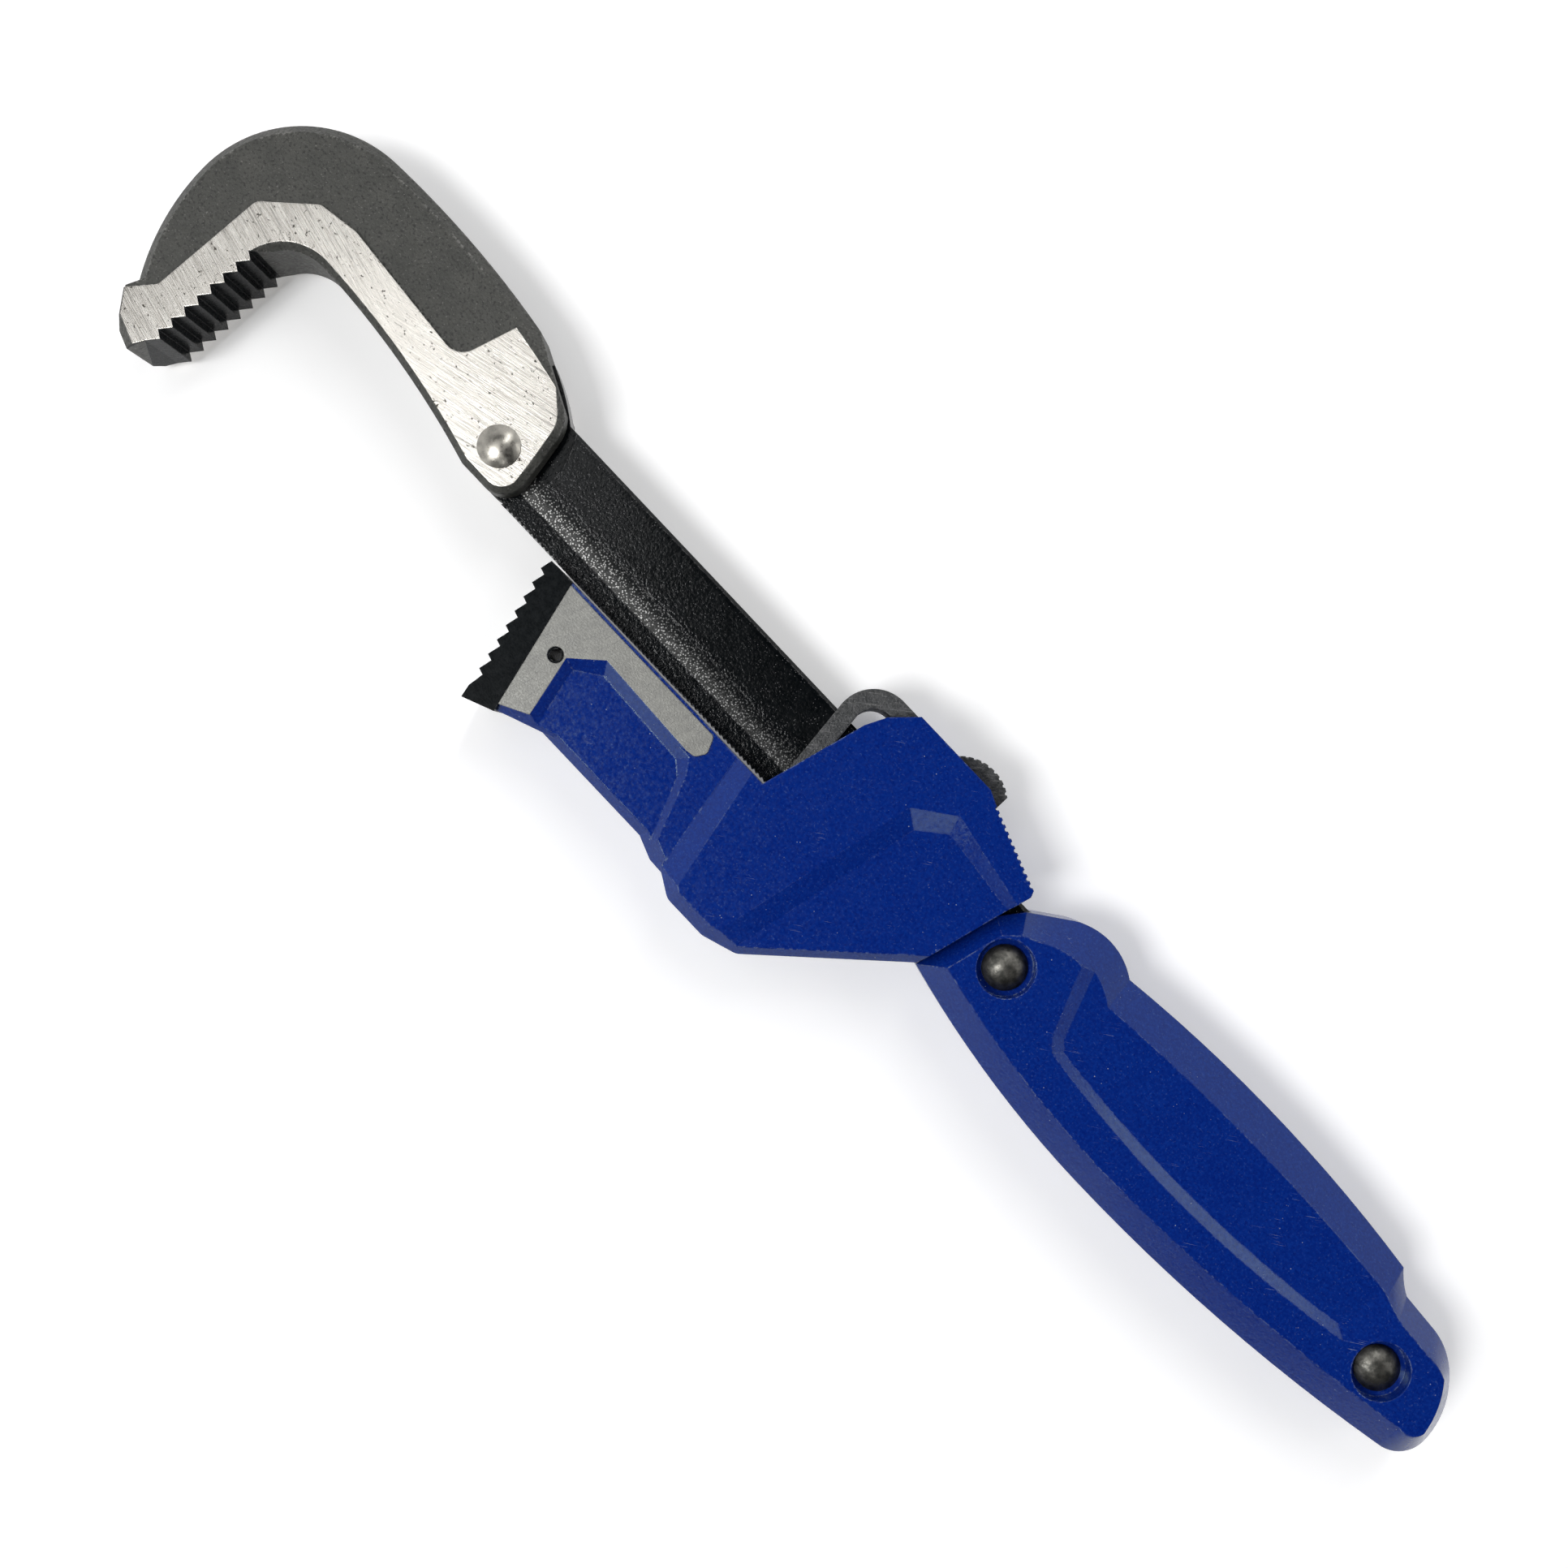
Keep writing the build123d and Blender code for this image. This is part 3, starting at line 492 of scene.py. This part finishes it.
wrinkle = Finish("black wrinkle paint", specular=0.18)
wrinkle_cloud = between(wrinkle, grain(wrinkle, 3 * MM, detail=3), 0.4, 0.7)
# Mask of the painted highlight: a band across the hollow, weaker towards the sleeve.
wrinkle_highlight_rise = between(wrinkle, along(wrinkle, "Y"), HOLLOW_FOOT, HOLLOW_CREST)
wrinkle_highlight_stop = between(wrinkle, along(wrinkle, "Y"), *HOLLOW_EDGE)
wrinkle_highlight_reach = between(wrinkle, along(wrinkle, "X"), *HOLLOW_FADE, to_low=0.4)
wrinkle_painted_shine = both(wrinkle, wrinkle_highlight_rise, wrinkle_highlight_stop, wrinkle_highlight_reach)
# Pale dots painted on the wrinkle tops stand in for their sparks of light.
wrinkle_painted_sparks = both(wrinkle, dots(wrinkle, 0.48 * MM, core=0.16, rim=0.40), wrinkle_painted_shine)
wrinkle_tone = mix(wrinkle, wrinkle_cloud, *WRINKLE_BLACKS)
wrinkle_tone = mix(wrinkle, both(wrinkle, wrinkle_painted_shine, wrinkle_highlight_rise), wrinkle_tone, WRINKLE_PAINTED_SHEEN)
wrinkle_tone = mix(wrinkle, wrinkle_painted_sparks, wrinkle_tone, WRINKLE_PAINTED_SPARK)
print("wrinkles shine over", round((HOLLOW_EDGE[0] - HOLLOW_FOOT) / MM, 1), "mm of the bar")

# %% [markdown]
# Nibs and bumps on the bar
#
# Away from the hollow the coat is almost even, with nibs of dust that dried into it and thin edges
# that have rubbed through. Nibs are dots again, gathered where the coat is thick. The bumps are
# highest in the hollow and low elsewhere, and the coat is glossy, so even low ones show.

# %% Nibs and bumps
WRINKLE_NIB = (0.13, 0.13, 0.13)
WRINKLE_CHIP = (0.14, 0.14, 0.14)
WRINKLE_POOL = (-1 * MM, 3 * MM)  # where the bumps grow, across the bar

wrinkle_thick = between(wrinkle, grain(wrinkle, 4 * MM), 0.40, 0.56)
wrinkle_nibs = both(wrinkle, dots(wrinkle, 0.65 * MM, core=0.08, rim=0.18), wrinkle_thick)
wrinkle_rub = between(wrinkle, grain(wrinkle, 0.6 * MM, detail=4), 0.48, 0.60)
wrinkle_chips = both(wrinkle, edges(wrinkle, 0.3 * MM), wrinkle_rub)
wrinkle_tone = mix(wrinkle, wrinkle_nibs, wrinkle_tone, WRINKLE_NIB)
wrinkle.colour(mix(wrinkle, wrinkle_chips, wrinkle_tone, WRINKLE_CHIP))
uneven_gloss(wrinkle, grain(wrinkle, 0.6 * MM), smooth=0.10, rough=0.18)
wrinkle_pool = between(wrinkle, along(wrinkle, "Y"), *WRINKLE_POOL, to_low=0.3)
wrinkle_height = both(wrinkle, grain(wrinkle, 0.6 * MM), wrinkle_pool)
relief(wrinkle, wrinkle_height, depth=0.14 * MM, rounding=0.2 * MM)
print("wrinkle paint is mixed")

# %% [markdown]
# Forged skin
#
# The hook is hammered hot in a die and then shot-blasted, which leaves a dull grey skin with fine
# pits and glints; the glints are a painted highlight, pale specks in its colour. High edges are
# rubbed bright by use. It could be a rough metal, but the skin is oxide and gives back hardly any
# picture of the tent, so we treat it as a rough, barely shiny mineral.

# %% Forged skin
FORGED_GREYS = (0.041, 0.042, 0.037), (0.060, 0.060, 0.053)
FORGED_PIT = (0.019, 0.019, 0.017)
FORGED_PAINTED_GLINT = (0.15, 0.146, 0.136)
FORGED_BRIGHT = (0.28, 0.275, 0.26)

forged = Finish("forged skin", specular=0.4)
forged_cloud = between(forged, grain(forged, 4.5 * MM, detail=4), 0.35, 0.7)
forged_pits = between(forged, grain(forged, 0.6 * MM, detail=3), 0.47, 0.33)
# Pale specks painted into the colour stand in for glints of light on the blasted skin.
forged_painted_glints = between(forged, grain(forged, 0.45 * MM), 0.64, 0.76)
forged_rub = between(forged, grain(forged, 0.6 * MM, detail=4), 0.50, 0.60)
forged_patch = between(forged, grain(forged, 6 * MM), 0.40, 0.55)
forged_worn = both(forged, edges(forged, 1 * MM), forged_rub, forged_patch)
forged_tone = mix(forged, forged_cloud, *FORGED_GREYS)
forged_tone = mix(forged, forged_pits, forged_tone, FORGED_PIT)
forged_tone = mix(forged, forged_painted_glints, forged_tone, FORGED_PAINTED_GLINT)
forged.colour(mix(forged, forged_worn, forged_tone, FORGED_BRIGHT))
uneven_gloss(forged, grain(forged, 0.8 * MM), smooth=0.42, rough=0.62)
relief(forged, grain(forged, 0.5 * MM, detail=3), depth=0.18 * MM, rounding=0.6 * MM)
print("forged skin is ready")

# %% [markdown]
# Ground steel
#
# A flat raised strip runs along the inside of the hook from the rivet to the teeth, and a grinding
# wheel has left it bright. The wheel leaves long parallel scratches; on this hook they swing round
# by about 26 degrees between the rivet and the teeth, because the work turns under the wheel. An
# anisotropic shader would stretch the highlight but show no scratch, so we draw the lines as
# stretched noise, once for each end, and blend the two along the bar. Dark pits are the bottom of
# the forged skin, which the wheel did not reach.

# %% Ground steel
RIVET_SIDE = 112 * MM  # where the scratches begin to turn, along the bar
TOOTH_SIDE = 150 * MM  # where they have turned
GROUND_STEELS = (0.54, 0.515, 0.470), (0.84, 0.815, 0.765)
GROUND_SCORE = (0.47, 0.455, 0.42)
GROUND_PIT = (0.07, 0.06, 0.05)


def turning(finish, share, size, detail, rivet_turn, tooth_turn, stretch):
    """Stretched grain that turns from its direction at the rivet to the one at the teeth."""
    blend = finish.add("ShaderNodeMix")
    finish.join(share, blend.inputs["Factor"])
    finish.join(grain(finish, size, detail, rivet_turn, stretch), blend.inputs["A"])
    finish.join(grain(finish, size, detail, tooth_turn, stretch), blend.inputs["B"])
    return blend.outputs["Result"]


ground = Finish("ground steel", metallic=1.0)
tooth_share = between(ground, along(ground, "X"), RIVET_SIDE, TOOTH_SIDE)
ground_lines = turning(ground, tooth_share, 0.16 * MM, 3, rivet_turn=13, tooth_turn=-13, stretch=60)
ground_cuts = turning(ground, tooth_share, 0.5 * MM, 1, rivet_turn=15, tooth_turn=-16, stretch=30)
ground_pits = between(ground, grain(ground, 0.7 * MM, detail=4), 0.645, 0.69)
ground_tone = mix(ground, between(ground, ground_lines, 0.35, 0.65), *GROUND_STEELS)
ground_tone = mix(ground, between(ground, ground_cuts, 0.35, 0.27), ground_tone, GROUND_SCORE)
ground.colour(mix(ground, ground_pits, ground_tone, GROUND_PIT))
uneven_gloss(ground, ground_lines, smooth=0.17, rough=0.30)
relief(ground, ground_lines, depth=0.03 * MM, rounding=0.3 * MM)
print("ground steel is ready")

# %% [markdown]
# Machined steel
#
# The heel arm has a V-shaped pad that is milled flat after painting, so bare grey metal shows with a
# crisp border. A face mill leaves short crossing arcs, which from here look like brushed cloud. Real
# arcs could be drawn with rings round a moving centre, but at this distance noise that is a little
# stretched does as well.

# %% Machined steel
MILLED_GREYS = (0.208, 0.208, 0.197), (0.235, 0.235, 0.220)
MILLED_MARK = (0.185, 0.185, 0.178)

milled = Finish("machined steel", metallic=1.0)
milled_cloud = between(milled, grain(milled, 2.2 * MM, detail=3, turn=60, stretch=2), 0.35, 0.65)
milled_marks = between(milled, grain(milled, 0.3 * MM, turn=75, stretch=14), 0.40, 0.30)
milled_tone = mix(milled, milled_cloud, *MILLED_GREYS)
milled.colour(mix(milled, milled_marks, milled_tone, MILLED_MARK))
uneven_gloss(milled, grain(milled, 0.3 * MM), smooth=0.44, rough=0.60)
relief(milled, grain(milled, 0.4 * MM), depth=0.04 * MM, rounding=0.3 * MM)
print("machined steel is ready")

# %% [markdown]
# Black steel
#
# The toothed heel and the hook's teeth are hardened and blackened in hot oxide. The skin is only
# microns thick, so tooth tips rub through to grey first. A black metal would mirror the tent and
# look grey, so this is a dark skin with hardly any gloss, and the edge mask does the rubbing.

# %% Black steel
BLACK_SKINS = (0.0030, 0.0042, 0.005), (0.008, 0.0095, 0.0105)
BLACK_RUBBED = (0.13, 0.13, 0.13)

black = Finish("black oxide steel", specular=0.05)
black_cloud = between(black, grain(black, 1.2 * MM, detail=4), 0.4, 0.7)
black_rub = between(black, grain(black, 0.6 * MM, detail=4), 0.50, 0.62)
black_worn = both(black, edges(black, 0.3 * MM), black_rub)
black.colour(mix(black, black_worn, mix(black, black_cloud, *BLACK_SKINS), BLACK_RUBBED))
uneven_gloss(black, grain(black, 0.6 * MM), smooth=0.24, rough=0.36)
relief(black, grain(black, 0.4 * MM, detail=3), depth=0.03 * MM, rounding=0.3 * MM)
print("black steel is ready")

# %% [markdown]
# Oiled lever steel
#
# The lock lever is a bent steel plate with a thin grey-black oil finish. It is smoother than the
# forged hook, and thumbs keep its edges polished, so it shows soft broad lights at the bend. Fine
# scuffs run along the way it is pushed. Oil on metal could be two layers of shader; one dark skin
# with more gloss looks the same from here.

# %% Lever steel
OILED_GREYS = (0.015, 0.017, 0.018), (0.046, 0.047, 0.048)
OILED_SCUFF = (0.085, 0.085, 0.085)
OILED_RUBBED = (0.17, 0.17, 0.17)

oiled = Finish("oiled lever steel", specular=0.5)
oiled_cloud = between(oiled, grain(oiled, 1.4 * MM, detail=4), 0.38, 0.66)
oiled_scuffs = between(oiled, grain(oiled, 0.3 * MM, turn=40, stretch=10), 0.58, 0.68)
oiled_rub = between(oiled, grain(oiled, 0.8 * MM, detail=4), 0.48, 0.62)
oiled_worn = both(oiled, edges(oiled, 0.4 * MM), oiled_rub)
oiled_tone = mix(oiled, oiled_cloud, *OILED_GREYS)
oiled_tone = mix(oiled, oiled_scuffs, oiled_tone, OILED_SCUFF)
oiled.colour(mix(oiled, oiled_worn, oiled_tone, OILED_RUBBED))
uneven_gloss(oiled, grain(oiled, 0.7 * MM), smooth=0.32, rough=0.50)
relief(oiled, grain(oiled, 0.5 * MM, detail=3), depth=0.13 * MM, rounding=0.5 * MM)
print("lever steel is ready")

# %% [markdown]
# Rivet steel
#
# The hook's rivet is polished by the turning hook and mirrors the tent, dark hole and all. The two
# handle rivets sit deep in counterbores, out of reach, and keep a mottled skin from the riveting
# hammer. Two finishes are simpler than one with a switch.

# %% Rivet steel
BRIGHT_STEELS = (0.44, 0.42, 0.375), (0.30, 0.288, 0.257)
DULL_STEELS = (0.15, 0.146, 0.132), (0.060, 0.060, 0.055)

bright = Finish("bright rivet steel", metallic=1.0)
bright_cloud = between(bright, grain(bright, 1.8 * MM, detail=3), 0.4, 0.65)
bright.colour(mix(bright, bright_cloud, *BRIGHT_STEELS))
uneven_gloss(bright, grain(bright, 0.8 * MM, detail=3), smooth=0.24, rough=0.36)
relief(bright, grain(bright, 1.2 * MM), depth=0.02 * MM)

dull = Finish("dull rivet steel", metallic=1.0)
dull_cloud = between(dull, grain(dull, 1.6 * MM, detail=4), 0.42, 0.62)
dull.colour(mix(dull, dull_cloud, *DULL_STEELS))
uneven_gloss(dull, grain(dull, 0.8 * MM, detail=3), smooth=0.36, rough=0.50)
relief(dull, grain(dull, 0.9 * MM, detail=3), depth=0.06 * MM)
print("rivet steels are ready")

# %% [markdown]
# Pieces with one finish
#
# Most pieces are dipped, painted or blackened whole before they are put together, so each takes one
# finish. A table of names and finishes reads like a workshop's list, and a loop does the rest. The
# solids keep their vertices; only their materials change.

# %% Dress the plain pieces
ONE_FINISH = {
    "bar": wrinkle,
    "hook_rivet": bright,
    "heel_jaw": black,
    "heel_jaw_pin": black,
    "release_lever": oiled,
    "lever_spring": oiled,
    "handle_front": paint,
    "handle_back": paint,
    "handle_rivet_top": dull,
    "handle_rivet_end": dull,
}


def dress(name, *finishes, pick=None):
    """Gives a solid its finishes; pick says which of them a face takes."""
    mesh = nodes[name].data
    mesh.materials.clear()
    for finish in finishes:
        mesh.materials.append(finish.material)
    if pick:
        for face in mesh.polygons:
            face.material_index = pick(face.center, face.normal)
    print(name, "wears", ", ".join(finish.material.name for finish in finishes))


for piece, finish in ONE_FINISH.items():
    dress(piece, finish)

# %% [markdown]
# Pieces that are worked after coating
#
# The hook is ground and the slider is milled after the rest of their skin is done. Grinding and
# milling make flat faces at one height, so height and direction are enough to find them: we ask each
# face for its middle and its normal. Painting a mask by hand would have to be done again after every
# change of shape.

# %% Dress the hook and the slider
PAD_TOP = 10 * MM  # machined pad above the middle plane
TEETH_X = (156.5 * MM, 162.5 * MM)  # tooth flanks along the bar
TEETH_Y = 11.8 * MM  # and where they begin beside the throat
TOUCH = 0.1 * MM
LEVEL = 0.99  # least height of a level face's normal
WALL = 0.1  # and most of a wall's
FORGED_SLOT, GROUND_SLOT, BLACK_SLOT = range(3)
PAINT_SLOT, MILLED_SLOT = range(2)

hook_top = max(vertex.co.z for vertex in nodes["hook_jaw"].data.vertices) - MID_Z


def at_height(middle, normal, height):
    """A flat face at this height on the front or the back."""
    return abs(normal.z) > LEVEL and abs(abs(middle.z - MID_Z) - height) < TOUCH


def hook_face(middle, normal):
    """Ground strip on top and bottom, black on the teeth, forged skin elsewhere."""
    if at_height(middle, normal, hook_top):
        return GROUND_SLOT
    if abs(normal.z) < WALL and TEETH_X[0] < middle.x < TEETH_X[1] and middle.y > TEETH_Y:
        return BLACK_SLOT
    return FORGED_SLOT


def slider_face(middle, normal):
    """Machined steel on the raised pad of the heel arm, paint elsewhere."""
    return MILLED_SLOT if at_height(middle, normal, PAD_TOP) else PAINT_SLOT


dress("hook_jaw", forged, ground, black, pick=hook_face)
dress("slider_body", paint, milled, pick=slider_face)
print("ground strip lies", round(hook_top / MM, 2), "mm above the middle plane")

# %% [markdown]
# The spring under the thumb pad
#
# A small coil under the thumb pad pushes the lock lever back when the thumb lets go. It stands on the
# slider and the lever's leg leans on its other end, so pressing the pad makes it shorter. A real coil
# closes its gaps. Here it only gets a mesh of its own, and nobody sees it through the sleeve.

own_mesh(nodes["lever_spring"])
